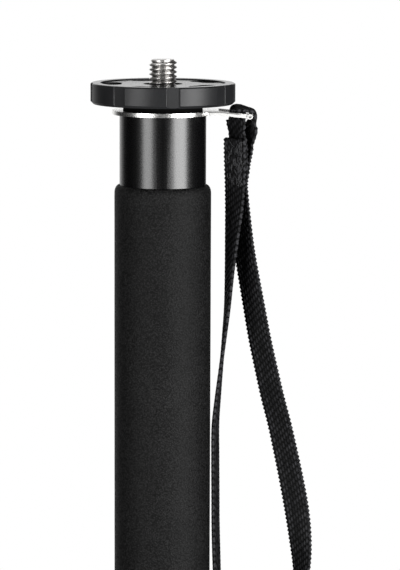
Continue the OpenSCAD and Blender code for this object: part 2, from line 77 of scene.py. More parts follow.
# The webbing's middle in millimetres, the angle of its width from the X axis, seen from above, and over
# the bracket the lean of its width out of the level. It runs from the tail inside the sewn joint, over the
# rolled tip, round the loop and back to the end on the joint's front.
STRAP_ROUTE = (
    (25.7, -0.3, -31, -40), (25.75, -0.3, -27, -41), (25.85, -0.3, -23, -45), (25.9, -0.2, -20.5, -50),
    (25.75, -0.1, -18.7, -54), (25.5, 0, -16.7, -56), (25.4, 0, -15, -50), (25.3, 0, -13.4, -47),
    (25.2, 0, -12.3, -50), (24.75, 0, -11.5, -61), (24.3, 0, -10.7, -75), (23.75, 0, -9.95, -86),
    (23.75, 0, -9.3, -90, -2), (24.3, 0, -8.85, -90, -5),
    (25.4, 0, -8.68, -90, -7), (26.6, 0, -8.75, -90, -7),
    (27.7, 0, -8.92, -90, -5), (28.7, 0, -9.1, -90, -2.5), (29.6, 0, -9.28, -90, -1), (30.5, 0, -9.47, -90),
    (31.35, 0, -10.0, -90), (31.8, 0, -10.9, -90), (31.75, 0, -11.8, -89), (31.55, 0, -12.6, -86.5),
    (31.2, 0.05, -13.3, -79), (30.8, 0.1, -14.1, -71), (30.55, 0.2, -15.3, -66), (30.2, 0.3, -16.7, -62),
    (29.4, 0.6, -18.7, -58), (28.6, 0.9, -20.5, -54), (28.05, 1.2, -22.6, -49), (27.4, 1.5, -25, -45),
    (26.8, 1.7, -27.5, -43), (26.3, 1.9, -31, -42), (25.8, 2.1, -35, -42), (26.1, 2.2, -39, -43),
    (26.9, 2.3, -46, -44), (28.0, 2.4, -55, -44), (29.15, 2.6, -63, -41.5), (31.85, 2.8, -78, -38),
    (33.85, 2.9, -89, -35), (36.0, 3.0, -99, -33), (38.5, 3.0, -110, -31), (41.1, 3.0, -120, -30),
    (43.35, 2.9, -130, -28), (45.45, 2.8, -140, -26), (47.3, 2.6, -150, -26), (48.6, 2.2, -160, -35),
    (49.2, 1.6, -170, -52), (48.6, 1.0, -180, -72), (46.3, 0.6, -190, -88), (42.2, 0.4, -198, -92),
    (36.0, 0.3, -202.5, -95), (29.5, 0.2, -202, -97), (24.2, 0.2, -197, -98), (21.0, 0.2, -188, -100),
    (19.6, 0.1, -177, -101), (19.1, 0.1, -166, -102), (18.8, 0, -155, -102), (18.7, 0, -144, -102),
    (18.6, 0, -132, -102), (18.6, -0.1, -120, -101), (19.4, -0.2, -110, -98), (20.5, -0.4, -99, -93),
    (21.5, -0.6, -89, -88), (22.55, -0.9, -78, -83), (23.3, -1.2, -65, -75), (24.1, -1.5, -53, -63),
    (24.75, -1.8, -43, -52), (25.0, -2.1, -35, -45), (25.0, -2.4, -29, -41), (24.9, -2.8, -24, -40),
    (24.8, -3.3, -19, -41),
)
# Painted shade in the roots of the stud's thread: how dark, from which share of the thread's depth, and how
# far below the tip it begins, in metres
ROOT_SHADE = 0.62
SHADE_DEPTH = 0.45
SHADE_START = 0.6 * MM
# Yarns after which the floats of the weave line up again
STAGGER = 3.0
# What is left of the webbing's width and thickness at its melted ends
END_WIDTH = 0.92
END_THICKNESS = 0.3
# How far from the webbing's middle the back's rows of sewing lie and the front's stitches reach, in metres
SEAM_HALF = 3.6 * MM
STITCH_REACH = 4.4 * MM
# Where the bracket's tab leaves its ring, along X in metres
RING_REACH = 0.0150
# Where the tab bends down, along X in metres, and how steeply
TAB_BEND = 0.0200
TAB_FALL = math.tan(math.radians(6))
# Where the tab's rolled tip begins, along X in metres
ROLL_REACH = 0.0275
# Half the width of the tab's middle, which the painted shade leaves out, and the depth of that shade under
# the tab's top, in metres
TAB_MIDDLE = 0.0058
SHADE_BAND_DEPTH = 0.00055
# The middle of the sewn joint on the right leg, in millimetres
JOINT_BACK = Vector((26.3, 1.9, -31))
# The sewing in millimetres: start, middle and end of the front's, back from the webbing's end,
# and the reach of the back's to both sides of the joint's middle
FRONT_SEAM = (15.5, 8, 1.8)
BACK_SEAM = (6, 8)
FRONT_STITCHES = 64
# Height of the platform's charcoal coat above the neck's painted shade, in metres
COAT_HEIGHT = 0.00735
# The white wall behind the object, its fading left end and the panel over the object: the way to the middle
# of each, the cosine at which it begins and how fast it brightens from there
WALL = ((-0.12, 0.993, 0.0), 0.85, 8.0)
WALL_END = ((-0.47, 0.883, 0.0), 0.88, 6.0)
PANEL = ((-0.25, 0.42, 0.873), 0.84, 8.0)
# How bright metal sees the panel and the rest of the room
PANEL_LEVEL = 0.75
ROOM_LEVEL = 0.012
# The point that the softboxes look at, and the gap between the foot and the floor, in metres
LIGHT_AIM = Vector((0, 0, -0.10))
FLOOR_GAP = 0.0002


def length_prop(name, text, value):
    return FloatProperty(name=name, description=text, default=value, unit="LENGTH", precision=5)


def angle_prop(name, text, degrees):
    return FloatProperty(name=name, description=text, default=math.radians(degrees), subtype="ANGLE")


def colour_prop(name, text, value):
    return FloatVectorProperty(name=name, description=text, default=value, subtype="COLOR", min=0, max=1)


class MonopodStage(bpy.types.PropertyGroup):
    """Camera, lamps and floor."""

    camera_back: length_prop("Camera distance", "How far the camera stands in front of the stud", 1.0374)
    camera_up: length_prop("Camera height", "Height of the camera above the seat", 0.0735)
    camera_side: length_prop("Camera offset", "How far the camera stands to the right of the stud", 0.01252)
    camera_pitch: angle_prop("Camera pitch", "How far the camera looks down", 7.9)
    camera_roll: angle_prop("Camera roll", "How far the camera leans to its side", -0.2)
    lens: FloatProperty(name="Lens", description="Focal length in mm", default=190, unit="CAMERA")
    left_width: length_prop("Left width", "Width of the left softbox", 0.54)
    right_width: length_prop("Right width", "Width of the right softbox", 0.78)
    box_height: length_prop("Softbox height", "Height of a softbox", 0.56)
    box_away: length_prop("Softbox distance", "Distance of a softbox from the object", 1.15)
    left_turn: angle_prop("Left softbox", "Turn of the left softbox from the camera", 40)
    right_turn: angle_prop("Right softbox", "Turn of the right softbox from the camera", 47)
    left_power: FloatProperty(name="Left power", description="Left softbox", default=6.9, unit="POWER")
    right_power: FloatProperty(name="Right power", description="Right softbox", default=15.9, unit="POWER")
    floor_radius: length_prop("Floor radius", "Radius of the round floor", 1.6)
    floor_drop: length_prop("Floor drop", "Depth of the floor below the folded foot", 1.005)


class MonopodColours(bpy.types.PropertyGroup):
    """Colours of the finishes."""

    platform: colour_prop("Platform", "Charcoal coat of the camera platform", (0.0145, 0.0148, 0.0160))
    # Painted shade: the neck under the platform is given a near-black colour for the platform's shadow
    neck_shade: colour_prop("Neck", "Black coat of the neck under the platform", (0.004, 0.004, 0.004))
    tube: colour_prop("Tubes", "Black anodised tubes", (0.0012, 0.0012, 0.0014))
    foam: colour_prop("Foam", "Foam of the grip", (0.0074, 0.0074, 0.0075))
    webbing: colour_prop("Webbing", "Nylon yarn of the wrist strap", (0.0046, 0.0046, 0.0050))
    thread: colour_prop("Thread", "Sewing thread of the wrist strap", (0.038, 0.038, 0.041))
    steel: colour_prop("Steel", "Turned steel of the stud", (0.88, 0.86, 0.84))
    plating: colour_prop("Plating", "Bright plating of the strap bracket", (0.90, 0.895, 0.88))
    dark_steel: colour_prop("Black steel", "Blackened set screw", (0.030, 0.030, 0.031))
    housing: colour_prop("Housings", "Moulded lock housings", (0.012, 0.012, 0.0125))
    lever: colour_prop("Levers", "Moulded lock levers", (0.022, 0.022, 0.023))
    nylon: colour_prop("Nylon", "Natural nylon of bushes and shoes", (0.70, 0.69, 0.64))
    rubber: colour_prop("Rubber", "Rubber of the foot", (0.010, 0.010, 0.010))


class MonopodStud(bpy.types.PropertyGroup):
    """Thread of the camera stud."""

    pitch: length_prop("Pitch", "Pitch of the thread", 1.5875 * MM)
    depth: length_prop("Depth", "Depth of the thread", 0.95 * MM)
    crest: length_prop("Crest", "Width of the thread's crest", 0.36 * MM)
    root: length_prop("Root", "Width of the thread's root", 0.24 * MM)
    tip: length_prop("Tip", "Chamfer on the stud's tip", 0.9 * MM)
    well: length_prop("Well", "Depth of the well that the thread runs down into", 1.2 * MM)
    shank: length_prop("Shank", "Length of the plain shank below the thread", 9 * MM)
    small_radius: length_prop("Small end", "Radius of the smaller lower end", 3.175 * MM)
    steps: IntProperty(name="Steps", description="Faces round one turn", default=72)


class MonopodStrap(bpy.types.PropertyGroup):
    """Webbing and sewing of the wrist strap."""

    width: length_prop("Width", "Width of the webbing", 10 * MM)
    thickness: length_prop("Thickness", "Thickness of the webbing", 1.4 * MM)
    step: length_prop("Step", "Spacing of the rings along the webbing", 0.33 * MM)
    relief: length_prop("Relief", "Height of the warp yarns over the weft", 0.28 * MM)
    yarn: length_prop("Yarn", "Width of one warp yarn", 1.0 * MM)
    float_length: length_prop("Float", "Length of one float of the weave", 2.3 * MM)
    loop: length_prop("Loop", "Spacing of the loops along the edges", 1.5 * MM)
    scallop: length_prop("Scallop", "Height of the loops along the edges", 0.55 * MM)
    thread: length_prop("Thread", "Diameter of the sewing thread", 0.30 * MM)
    stitch: length_prop("Stitch", "Length of one stitch of the sewing", 1.7 * MM)


class MonopodGrip(bpy.types.PropertyGroup):
    """Foam of the grip."""

    wall: length_prop("Wall", "Thickness of the foam", 1.75 * MM)
    edge: length_prop("Edge", "Width of the round at the foam's ends", 1.55 * MM)
    edge_rise: length_prop("Edge rise", "Height of the round at the foam's ends", 2.8 * MM)
    cell: length_prop("Cell", "Size of the foam's cells", 0.55 * MM)
    swell: length_prop("Swell", "Unevenness of the foam's surface", 0.05 * MM)
    steps: IntProperty(name="Steps", description="Faces round the foam", default=112)


class Wire:
    """A socket of a node tree, for shader maths written as expressions."""

    def __init__(self, graph, socket):
        self.graph = graph
        self.socket = socket

    def maths(self, operation, first, second=0.0, clamp=False):
        settings = {"operation": operation, "use_clamp": clamp}
        return self.graph.add("ShaderNodeMath", settings, {0: first, 1: second})

    def __add__(self, other):
        return self.maths("ADD", self, other)

    __radd__ = __add__

    def __sub__(self, other):
        return self.maths("SUBTRACT", self, other)

    def __rsub__(self, other):
        return self.maths("SUBTRACT", other, self)

    def __mul__(self, other):
        return self.maths("MULTIPLY", self, other)

    __rmul__ = __mul__

    def __truediv__(self, other):
        return self.maths("DIVIDE", self, other)

    def __rtruediv__(self, other):
        return self.maths("DIVIDE", other, self)

    def whole(self):
        return self.maths("FLOOR", self)

    def rest(self):
        return self.maths("FRACT", self)

    def clamped(self):
        return self.maths("ADD", self, 0.0, clamp=True)

    def ramp(self, start, gain):
        """0 up to the start and then rising to 1, or falling to 0 at it where the gain is negative."""
        return ((self - start) * gain).clamped()


class Graph:
    """A node tree and the one way in which nodes are added to it."""

    def __init__(self, tree):
        self.tree = tree

    def add(self, kind, settings=None, inputs=None, output=0):
        node = self.tree.nodes.new(kind)
        for name, value in (settings or {}).items():
            setattr(node, name, value)
        for name, value in (inputs or {}).items():
            self.feed(node.inputs[name], value)
        return Wire(self, node.outputs[output]) if node.outputs else None

    def feed(self, socket, value):
        if isinstance(value, Wire):
            self.tree.links.new(value.socket, socket)
        elif socket.type == "RGBA" and len(value) == 3:
            socket.default_value = (*value, 1.0)
        else:
            socket.default_value = value

    def place(self, stretch=(1.0, 1.0, 1.0)):
        """The surface point in metres, in the frame that the piece is modelled in."""
        point = self.add("ShaderNodeTexCoord", output="Object")
        if stretch == (1.0, 1.0, 1.0):
            return point
        return self.add("ShaderNodeVectorMath", {"operation": "MULTIPLY"}, {0: point, 1: stretch})

    def speckle(self, size, detail=2.0, stretch=(1.0, 1.0, 1.0)):
        """Noise from 0 to 1 with features of about that size in metres."""
        inputs = {"Vector": self.place(stretch), "Scale": 1.0 / size, "Detail": detail, "Roughness": 0.55}
        return self.add("ShaderNodeTexNoise", None, inputs)

    def shift(self, field, low, high):
        """A noise field spread over a range of values."""
        inputs = {"Value": field, "From Min": 0.3, "From Max": 0.7, "To Min": low, "To Max": high}
        return self.add("ShaderNodeMapRange", None, inputs)

    def blend(self, mask, first, second):
        settings = {"data_type": "RGBA", "blend_type": "MIX"}
        return self.add("ShaderNodeMix", settings, {0: mask, 6: first, 7: second}, output=2)

    def relief(self, height, strength, depth):
        inputs = {"Height": height, "Strength": strength, "Distance": depth}
        return self.add("ShaderNodeBump", None, inputs)

    def axis(self, name, vector=None):
        """One coordinate of a vector, or else of the surface point in metres."""
        return self.add("ShaderNodeSeparateXYZ", None, {0: vector or self.place()}, output=name)

    def upward(self):
        """1 on faces that look up and 0 on upright ones."""
        normal = self.add("ShaderNodeNewGeometry", output="Normal")
        return self.axis("Z", normal).ramp(0.4, 2.5)

    def edges(self, radius):
        """1 along sharp edges and 0 on plain faces."""
        rounded = self.add("ShaderNodeBevel", {"samples": 4}, {"Radius": radius})
        plain = self.add("ShaderNodeNewGeometry", output="Normal")
        return self.dot(rounded, plain).ramp(1.0, -5.0)

    def dot(self, first, second):
        inputs = {0: first, 1: second}
        return self.add("ShaderNodeVectorMath", {"operation": "DOT_PRODUCT"}, inputs, output="Value")


class Finish:
    """A material with its Principled shader."""

    def __init__(self, name):
        self.material = bpy.data.materials.new(name)
        self.material.use_nodes = True
        self.graph = Graph(self.material.node_tree)
        self.shader = self.material.node_tree.nodes["Principled BSDF"]

    def set(self, values):
        for name, value in values.items():
            self.graph.feed(self.shader.inputs[name], value)
        return self.material

    def mix(self, mask, other):
        """Shows another shader where the mask is 1."""
        own = Wire(self.graph, self.shader.outputs[0])
        both = self.graph.add("ShaderNodeMixShader", None, {0: mask, 1: own, 2: other})
        self.graph.feed(self.material.node_tree.nodes["Material Output"].inputs["Surface"], both)
        return self.material


def tinted(colour, factor):
    return tuple(min(1.0, c * factor) for c in colour)


def coated(name, colour, rough, grain, spread=0.25, depth=0.00002, wear_and_painted_highlight=0.0):
    """A coated or moulded finish: fine grain in colour, gloss and relief, with lighter edges that are
    painted highlight and partly wear.
    """
    finish = Finish(name)
    graph = finish.graph
    fine = graph.speckle(grain)
    broad = graph.speckle(14 * grain, detail=3.0)
    mixed = fine * 0.6 + broad * 0.4
    mask = graph.shift(mixed, 0.0, 1.0)
    base = graph.blend(mask, tinted(colour, 1 - spread), tinted(colour, 1 + spread))
    if wear_and_painted_highlight:
        # Painted highlight, partly wear: lighter colour along sharp edges
        base = graph.blend(graph.edges(0.0003) * wear_and_painted_highlight, base, tinted(colour, 3))
    return finish.set({
        "Base Color": base,
        "Roughness": graph.shift(mixed, rough - 0.06, rough + 0.06),
        "Normal": graph.relief(fine, 0.25, depth),
    })


def platform_finish(colours):
    """Charcoal coat on the platform, lighter along its edges as painted highlight and partly wear; painted
    shade on the neck under it, near black and hardly glossy.
    """
    finish = Finish("platform_coat")
    graph = finish.graph
    fine = graph.speckle(0.00035)
    broad = graph.speckle(0.006, detail=3.0)
    mixed = fine * 0.7 + broad * 0.3
    tone = graph.shift(mixed, 0.0, 1.0)
    coat = graph.blend(tone, tinted(colours.platform, 0.8), tinted(colours.platform, 1.2))
    # Painted highlight, partly edge wear: the coat four times lighter along sharp edges
    wear_and_painted_light = graph.blend(graph.edges(0.00025) * 0.5, coat, tinted(colours.platform, 4))
    # Painted shade: below the coat the neck gets a near-black, hardly glossy shader
    below = graph.axis("Z").ramp(DISC_TOP - COAT_HEIGHT, -4000.0)
    finish.set({
        "Base Color": wear_and_painted_light,
        "Roughness": graph.shift(mixed, 0.36, 0.46) - graph.upward() * 0.22,
        "Specular IOR Level": 0.33,
        "Normal": graph.relief(fine, 0.22, 0.00003),
    })
    matte = {
        "Base Color": graph.blend(tone, tinted(colours.neck_shade, 0.8), tinted(colours.neck_shade, 1.2)),
        "Roughness": 0.9, "Specular IOR Level": 0.05,
    }
    neck_shade = graph.add("ShaderNodeBsdfPrincipled", None, matte)
    return finish.mix(below, neck_shade)


def tube_finish(colours):
    """Black anodising over a fine blasted grain, with faint drawing lines along the tube."""
    finish = Finish("black_anodised")
    graph = finish.graph
    grain = graph.speckle(0.00030)
    drawn = graph.speckle(0.0009, stretch=(1.0, 1.0, 0.02))
    mixed = grain * 0.75 + drawn * 0.25
    tone = graph.shift(mixed, 0.0, 1.0)
    return finish.set({
        "Base Color": graph.blend(tone, tinted(colours.tube, 0.6), tinted(colours.tube, 1.6)),
        "Roughness": graph.shift(mixed, 0.23, 0.31),
        "Specular IOR Level": 0.62,
        "Normal": graph.relief(mixed, 0.16, 0.00002),
    })


def foam_finish(colours, cell):
    """Closed cells: dark pits between lighter skins."""
    finish = Finish("grip_foam")
    graph = finish.graph
    inputs = {"Vector": graph.place(), "Scale": 1.0 / cell, "Randomness": 1.0}
    cells = graph.add("ShaderNodeTexVoronoi", {"feature": "F1"}, inputs, output="Distance")
    fine = graph.speckle(cell * 1.4, detail=3.0)
    cloud = graph.speckle(0.012, detail=3.0)
    skin = (1.0 - cells) * 0.5 + fine * 0.5
    tone = graph.shift(skin * 0.85 + cloud * 0.15, 0.0, 1.0)
    return finish.set({
        "Base Color": graph.blend(tone * tone, tinted(colours.foam, 0.1), tinted(colours.foam, 3.2)),
        "Roughness": graph.shift(fine, 0.55, 0.72),
        "Specular IOR Level": 0.19,
        "Normal": graph.relief(skin, 0.8, 0.00030),
    })


def webbing_finish(colours):
    """Warp yarns in staggered floats, from the count of yarns across and of floats along the webbing, with
    painted shade in the valleys between the yarns and a painted highlight on the edge loops.
    """
    finish = Finish("nylon_webbing")
    graph = finish.graph
    spot = graph.add("ShaderNodeAttribute", {"attribute_name": "weave"}, output="Vector")
    across = graph.axis("X", spot)
    along = graph.axis("Y", spot)
    column = across.whole()
    side = across.rest() * 2.0 - 1.0
    floats = along - column / STAGGER
    run = floats.rest() * 2.0 - 1.0
    crown = ((1.0 - side * side) * (1.0 - run * run)).clamped()
    edge = graph.axis("Z", spot)
    counts = graph.add("ShaderNodeCombineXYZ", None, {0: column, 1: floats.whole()})
    luck = graph.add("ShaderNodeTexWhiteNoise", {"noise_dimensions": "2D"}, {"Vector": counts})
    fibres = graph.add("ShaderNodeTexNoise", None, {"Vector": spot, "Scale": 6.0, "Detail": 2.0})
    fuzz = graph.speckle(0.0009, detail=3.0)
    # Painted shade and highlight: near-black valleys between the yarns, lighter crowns and lighter edge
    # loops, with a random tone per float
    lit = crown * crown * (0.25 + luck * 0.72) * (1.0 + edge * 1.6)
    tone = (lit * 0.8 + graph.shift(fuzz, -0.07, 0.09) + graph.shift(fibres, -0.05, 0.07)).clamped()
    return finish.set({
        "Base Color": graph.blend(tone, tinted(colours.webbing, 0.02), tinted(colours.webbing, 9.0)),
        "Roughness": graph.shift(fuzz, 0.46, 0.66),
        "Specular IOR Level": 0.14,
        "Normal": graph.relief(crown * 0.6 + fibres * 0.4, 0.7, 0.00015),
    })


def turned_finish(name, colour, rough, root=0.0):
    """Turned metal: rings left by the tool, small scuffs, and painted shade in a thread within the root
    radius.
    """
    finish = Finish(name)
    graph = finish.graph
    rings = graph.speckle(0.00012, stretch=(0.05, 0.05, 1.0))
    scuffs = graph.speckle(0.0011, detail=4.0)
    mixed = rings * 0.7 + scuffs * 0.3
    tone = graph.shift(mixed, 0.0, 1.0)
    base = graph.blend(tone, tinted(colour, 0.92), tinted(colour, 1.06))
    if root:
        # Painted shade: the thread's roots darker, from a little below the tip downwards
        side = graph.axis("X")
        front = graph.axis("Y")
        deep = (side * side + front * front).ramp(root * root, -300000.0)
        below_tip = graph.axis("Z").ramp(STUD_HIGH[2] - SHADE_START, -3000.0)
        base = graph.blend(deep * below_tip * ROOT_SHADE, base, tinted(colour, 0.08))
    return finish.set({
        "Base Color": base,
        "Metallic": 1.0,
        "Roughness": graph.shift(mixed, rough - 0.04, rough + 0.05),
        "Normal": graph.relief(rings, 0.02, 0.00001),
    })


def plated_finish(colours):
    """Bright plating with a few dull spots: polished on the ring, duller on the tab's cut sides, and
    painted shade in a band under the top of the tab's long edges.
    """
    finish = Finish("bright_plating")
    graph = finish.graph
    fine = graph.speckle(0.0006, detail=4.0)
    spots = graph.speckle(0.0024, detail=4.0)
    dull = spots.ramp(0.60, 7.0)
    reach = graph.axis("X")
    side = graph.axis("Y")
    past_ring = reach.ramp(RING_REACH, 1500.0)
    tab = past_ring * (1.0 - graph.upward())
    below = BRACKET_TOP - (reach - TAB_BEND).clamped() * TAB_FALL - graph.axis("Z")
    outer = (side * side).ramp(TAB_MIDDLE * TAB_MIDDLE, 200000.0)
    before_roll = reach.ramp(ROLL_REACH, -600.0)
    # Painted shade: a darker band under the top of the tab's long edges, between the ring and the rolled
    # tip
    edge_shade = below.ramp(SHADE_BAND_DEPTH, -7000.0) * outer * past_ring * before_roll
    wear_and_painted_light = (dull * 0.55 + edge_shade).clamped()
    polish = graph.shift(fine, 0.24, 0.32) - graph.upward() * 0.14
    return finish.set({
        "Base Color": graph.blend(wear_and_painted_light, tuple(colours.plating), tinted(colours.plating, 0.34)),
        "Metallic": 1.0 - tab * 0.4,
        "Roughness": polish + dull * 0.1 + tab * 0.26,
        "Normal": graph.relief(fine, 0.08, 0.00002),
    })


def new_piece(name, mesh_maker, material, body):
    """A smooth mesh piece that rides on a body of the frame."""
    mesh = bpy.data.meshes.new(name)
    shape = bmesh.new()
    mesh_maker(shape)
    bmesh.ops.recalc_face_normals(shape, faces=shape.faces)
    for face in shape.faces:
        face.smooth = True
    shape.to_mesh(mesh)
    shape.free()
    piece = bpy.data.objects.new(name, mesh)
    bpy.context.scene.collection.objects.link(piece)
    mesh.materials.append(material)
    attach(piece, body)
    return piece


def dress(node, material, edge=0.0):
    """Gives a CAD node its finish and, where asked, small rounded edges."""
    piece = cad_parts[node]
    piece.data.materials.clear()
    piece.data.materials.append(material)
    if edge:
        weld = piece.modifiers.new("joined", "WELD")
        weld.merge_threshold = 1e-6
        bevel = piece.modifiers.new("edges", "BEVEL")
        bevel.width = edge
        bevel.segments = 2
        bevel.limit_method = "ANGLE"
        bevel.angle_limit = math.radians(33)
        bevel.use_clamp_overlap = True
        normals = piece.modifiers.new("normals", "WEIGHTED_NORMAL")
        normals.keep_sharp = True
    return piece


def join_rows(shape, low, high):
    """Faces between one closed row of corners and the next."""
    count = len(low)
    for k in range(count):
        shape.faces.new((low[k], low[(k + 1) % count], high[(k + 1) % count], high[k]))


def skin_rings(shape, rings):
    """Faces between rings of points, with the two ends closed."""
    rows = [[shape.verts.new(p) for p in ring] for ring in rings]
    for low, high in zip(rows, rows[1:]):
        join_rows(shape, low, high)
    shape.faces.new(list(reversed(rows[0])))
    shape.faces.new(rows[-1])
    return rows


def circle(radius, z, steps):
    turn = 2 * math.pi / steps
    return [Vector((radius * math.cos(k * turn), radius * math.sin(k * turn), z)) for k in range(steps)]


# Camera stud
def thread_profile(stud):
    """Height and radius along one pitch of the thread, from the start of a crest."""
    major = STUD_HIGH[0]
    minor = major - stud.depth
    flank = (stud.pitch - stud.crest - stud.root) / 2
    soft = 0.04 * MM
    return (
        (0.0, major - soft), (soft, major), (stud.crest - soft, major), (stud.crest, major - soft),
        (stud.crest + flank, minor + soft), (stud.crest + flank + soft, minor),
        (stud.pitch - flank - soft, minor), (stud.pitch - flank, minor + soft),
    )


def build_stud(shape, stud):
    """A true helix, cut flat by the chamfered tip above and by the platform below."""
    profile = thread_profile(stud)
    top = STUD_HIGH[2]
    bottom = -stud.well
    minor = STUD_HIGH[0] - stud.depth
    cone = min(STUD_HIGH[0] - stud.tip, minor)
    turns = math.ceil((top - bottom) / stud.pitch) + 2
    steps = stud.steps
    rows = []
    for turn in range(-1, turns):
        for rise, radius in profile:
            row = []
            for k in range(steps):
                share = k / steps
                z = min(max(bottom + (turn + share) * stud.pitch + rise, bottom), top)
                r = min(radius, cone + (top - z)) if z > bottom else minor
                angle = 2 * math.pi * share
                row.append(shape.verts.new((r * math.cos(angle), r * math.sin(angle), z)))
            rows.append(row)
    jump = len(profile)
    for i in range(len(rows) - 1):
        for k in range(steps - 1):
            shape.faces.new((rows[i][k], rows[i][k + 1], rows[i + 1][k + 1], rows[i + 1][k]))
        if i + jump + 1 < len(rows):
            shape.faces.new((rows[i][-1], rows[i + jump][0], rows[i + jump + 1][0], rows[i + 1][-1]))
    bmesh.ops.remove_doubles(shape, verts=shape.verts, dist=1e-7)
    bmesh.ops.dissolve_degenerate(shape, edges=shape.edges, dist=1e-7)
    loose = [v for v in shape.verts if not v.link_faces]
    bmesh.ops.delete(shape, geom=loose, context="VERTS")
    open_edges = [e for e in shape.edges if e.is_boundary]
    bmesh.ops.holes_fill(shape, edges=open_edges, sides=0)
    for edge in open_edges:
        edge.smooth = False
    shank = STUD_HIGH[0] - stud.depth / 2
    floor = bottom - stud.shank
    end = STUD_LOW[2]
    chamfer = stud.small_radius - stud.tip
    outline = (
        (chamfer, end), (stud.small_radius, end + stud.tip), (stud.small_radius, floor), (shank, floor),
        (shank, bottom - 0.01 * MM),
    )
    skin_rings(shape, [circle(r, z, steps) for r, z in outline])


# Wrist strap
def smooth_point(route, index, share):
    """A point of the smooth curve through the route, between one station and the next."""
    last = len(route) - 1
    a, b, c, d = (route[min(max(index + k, 0), last)] for k in (-1, 0, 1, 2))
    s2 = share * share
    s3 = s2 * share
    return tuple(
        0.5 * (2 * q + (r - p) * share + (2 * p - 5 * q + 4 * r - t) * s2 + (3 * q - p - 3 * r + t) * s3)
        for p, q, r, t in zip(a, b, c, d)
    )


def width_way(turn, lean):
    """The way the webbing's width points, from its turn seen from above and its lean out of the level."""
    level = math.cos(lean)
    return Vector((math.cos(turn) * level, math.sin(turn) * level, math.sin(lean)))


def strap_stations(step):
    """Evenly spaced places along the webbing: point, direction across, direction out of its face."""
    route = [(*row, 0)[:5] for row in STRAP_ROUTE]
    dense = []
    parts = 24
    for index in range(len(route) - 1):
        dense += [smooth_point(route, index, k / parts) for k in range(parts)]
    dense.append(route[-1])
    points = [Vector(p[:3]) * MM for p in dense]
    sides = [width_way(math.radians(p[3]), math.radians(p[4])) for p in dense]
    run = [0.0]
    for a, b in zip(points, points[1:]):
        run.append(run[-1] + (b - a).length)
    count = round(run[-1] / step)
    spots = []
    ways = []
    j = 0
    for k in range(count + 1):
        want = run[-1] * k / count
        while j < len(run) - 2 and run[j + 1] < want:
            j += 1
        share = (want - run[j]) / (run[j + 1] - run[j])
        spots.append(points[j].lerp(points[j + 1], share))
        ways.append(sides[j].lerp(sides[j + 1], share))
    stations = []
    for k, spot in enumerate(spots):
        ahead = (spots[min(k + 1, count)] - spots[max(k - 1, 0)]).normalized()
        across = (ways[k] - ways[k].dot(ahead) * ahead).normalized()
        stations.append((spot, across, ahead.cross(across), run[-1] * k / count))
    return stations, run[-1]


def webbing_section(strap):
    """Outline of the webbing: place across and out of its face, share of its edge loops, count of yarns."""
    half_t = strap.thickness / 2
    core = strap.width / 2 - strap.scallop - half_t
    yarns = round(2 * core / strap.yarn)
    bend = 6
    face = [(core - core * k / yarns, half_t, 0.0, k / 2) for k in range(2 * yarns + 1)]
    for k in range(1, bend):
        angle = math.pi / 2 + math.pi * k / bend
        across = half_t * math.cos(angle)
        face.append((across - core, half_t * math.sin(angle), across / half_t, yarns + k / bend))
    return face + [(-u, -n, -edge, yarn) for u, n, edge, yarn in face]


def float_height(yarn, floats):
    """Height of a warp yarn: 0 in the valleys and where a float dips under the weft, 1 on its crown."""
    column = math.floor(yarn)
    if yarn == column:
        return 0.0
    run = (floats - column / STAGGER) % 1.0
    return math.sqrt(max(0.0, 1 - (2 * run - 1) ** 2))


def edge_share(yarn, yarns):
    """1 on the edge loops, falling to 0 two yarns into the face."""
    return min(1.0, max(0.0, 1 - min(yarn, yarns - yarn) / 2))


def build_webbing(shape, strap, stations, total):
    """The woven band: raised warp yarns, loops of weft along both edges and two cut ends melted round."""
    layer = shape.verts.layers.float_vector.new("weave")
    section = webbing_section(strap)
    melt = strap.thickness * 0.6
    rings = []
    for spot, across, out, along in stations:
        end = min(along, total - along) / melt
        narrow = math.sqrt(max(0.0, 1 - (1 - min(end, 1.0)) ** 2))
        floats = along / strap.float_length
        loops = along / strap.loop
        wide = END_WIDTH + (1 - END_WIDTH) * narrow
        thick = END_THICKNESS + (1 - END_THICKNESS) * narrow
        ring = []
        for u, n, edge, yarn in section:
            if edge:
                loop = 0.5 + 0.5 * math.cos(2 * math.pi * loops + (0 if edge < 0 else math.pi))
                place = u + edge * strap.scallop * loop
                height = n
            else:
                sunk = strap.relief * (1 - float_height(yarn, floats + (0 if n > 0 else 0.5)))
                place = u
                height = n - math.copysign(sunk, n)
            ring.append(spot + across * (place * wide) + out * (height * thick))
        rings.append(ring)
    rows = skin_rings(shape, rings)
    yarns = math.floor(max(yarn for _, _, _, yarn in section))
    for row, (_, _, _, along) in zip(rows, stations):
        for vert, (_, _, _, yarn) in zip(row, section):
            vert[layer] = Vector((yarn, along / strap.float_length, edge_share(yarn, yarns)))


def add_thread(shape, points, radius, sides=6):
    """A short tube of sewing thread through the points, thinner and closed at both ends."""
    slant = Vector((0.31, 0.55, 0.77))
    angles = [2 * math.pi * j / sides for j in range(sides)]
    rings = []
    for k, point in enumerate(points):
        ahead = (points[min(k + 1, len(points) - 1)] - points[max(k - 1, 0)]).normalized()
        side = ahead.cross(slant).normalized()
        up = ahead.cross(side)
        size = radius * (0.45 if k in (0, len(points) - 1) else 1.0)
        rings.append([point + (side * math.cos(a) + up * math.sin(a)) * size for a in angles])
    skin_rings(shape, rings)


def straight_mark(a0, u0, a1, u1):
    """Places along one straight stitch, each along and across the webbing."""
    shares = (0.0, 0.2, 0.5, 0.8, 1.0)
    return [(a0 + (a1 - a0) * t, u0 + (u1 - u0) * t) for t in shares]


def loop_mark(along, across, radius):
    """Places along one slack, drawn-out loop of thread, open at a side that changes with its place."""
    corners = 10
    stretch = 1.9
    sweep = 1.4 * math.pi
    angles = [along / MM + sweep * k / corners for k in range(corners + 1)]
    return [(along + radius * stretch * math.sin(a), across + radius * math.cos(a)) for a in angles]


